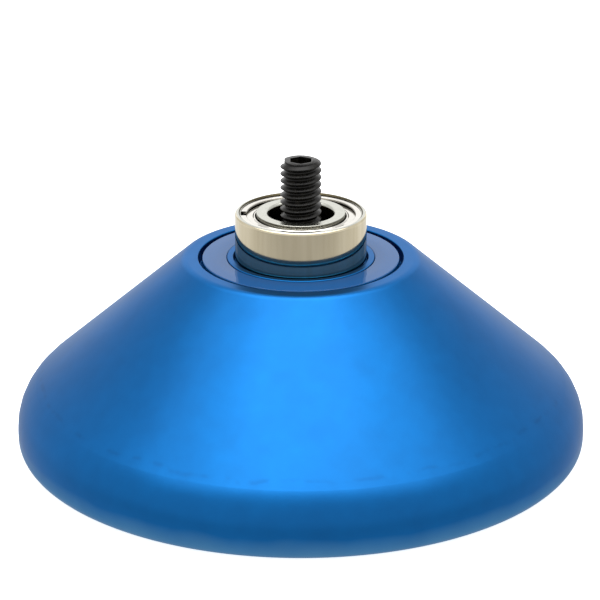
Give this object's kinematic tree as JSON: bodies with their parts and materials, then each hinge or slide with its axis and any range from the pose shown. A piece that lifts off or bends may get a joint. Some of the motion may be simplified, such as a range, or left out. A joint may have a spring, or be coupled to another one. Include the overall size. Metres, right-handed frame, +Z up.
{
  "type": "light up yo-yo half",
  "caption": "Half of a metal ball-bearing yo-yo: conical anodised body, response pad, shielded bearing, threaded axle, and a light module behind a clear bayonet side cap.",
  "frame": {"origin": "centre of the plane that the rim rests on", "axes": "+Z up the spin axis towards the axle's free end, +X along the spin switch"},
  "size_m": [0.0558, 0.0558, 0.0284],
  "materials": {
    "anodised_body": "satin",
    "blue_silicone": "gloss",
    "bearing_steel": "polished",
    "shield_steel": "polished",
    "ball_steel": "polished",
    "cage_steel": "satin",
    "black_oxide": "satin",
    "clear_cap": "gloss",
    "seal_rubber": "matte",
    "board_laminate": "satin",
    "tray_plastic": "matte",
    "led_case_white": "satin",
    "led_window_clear": "gloss",
    "cell_can": "satin",
    "contact_plating": "satin",
    "resistor_black": "satin",
    "chip_black": "matte",
    "screw_steel": "satin",
    "switch_brass": "satin",
    "spring_steel": "satin"
  },
  "bodies": {
    "half": {"body_shell": "anodised_body", "response_pad": "blue_silicone", "inner_race": "bearing_steel", "axle_screw": "black_oxide", "circuit_board": "board_laminate", "cell_tray": "tray_plastic", "led_case_1": "led_case_white", "led_case_2": "led_case_white", "led_case_3": "led_case_white", "led_window_1": "led_window_clear", "led_window_2": "led_window_clear", "led_window_3": "led_window_clear", "cell_1": "cell_can", "cell_2": "cell_can", "cell_3": "cell_can", "top_contact_1": "contact_plating", "top_contact_2": "contact_plating", "top_contact_3": "contact_plating", "base_contact_1": "contact_plating", "base_contact_2": "contact_plating", "base_contact_3": "contact_plating", "resistor_1": "resistor_black", "resistor_2": "resistor_black", "resistor_3": "resistor_black", "driver_chip": "chip_black", "module_screws": "screw_steel", "switch_barrel": "switch_brass", "switch_spring": "spring_steel", "switch_contact": "spring_steel"},
    "outer_race": {"outer_race": "bearing_steel", "top_shield": "shield_steel", "bottom_shield": "shield_steel", "top_snap_ring": "shield_steel", "bottom_snap_ring": "shield_steel"},
    "ball_set": {"ball_cage": "cage_steel", "ball_1": "ball_steel", "ball_2": "ball_steel", "ball_3": "ball_steel", "ball_4": "ball_steel", "ball_5": "ball_steel", "ball_6": "ball_steel", "ball_7": "ball_steel", "ball_8": "ball_steel"},
    "switch_weight": {"switch_weight": "switch_brass"},
    "cap": {"lens_cap": "clear_cap", "cap_o_ring": "seal_rubber"}
  },
  "joints": [
    {"name": "outer_race_spin", "type": "hinge", "parent": "half", "child": "outer_race", "pos_m": [0, 0, 0.02088], "axis": [0, 0, 1], "continuous": true},
    {"name": "ball_set_spin", "type": "hinge", "parent": "half", "child": "ball_set", "pos_m": [0, 0, 0.02088], "axis": [0, 0, 1], "continuous": true},
    {"name": "switch_slide", "type": "slide", "parent": "half", "child": "switch_weight", "axis": [1, 0, 0], "range_m": [0, 0.00125], "stiffness_N_per_m": 30, "springref_m": -0.0005, "deforming": ["switch_spring"]},
    {"name": "cap_twist", "type": "hinge", "parent": "half", "child": "cap", "pos_m": [0, 0, 0.0025], "axis": [0, 0, 1], "range_deg": [0, 30]}
  ],
  "couplings": [
    {"joint": "ball_set_spin", "follows": "outer_race_spin", "ratio": 0.58336}
  ]
}
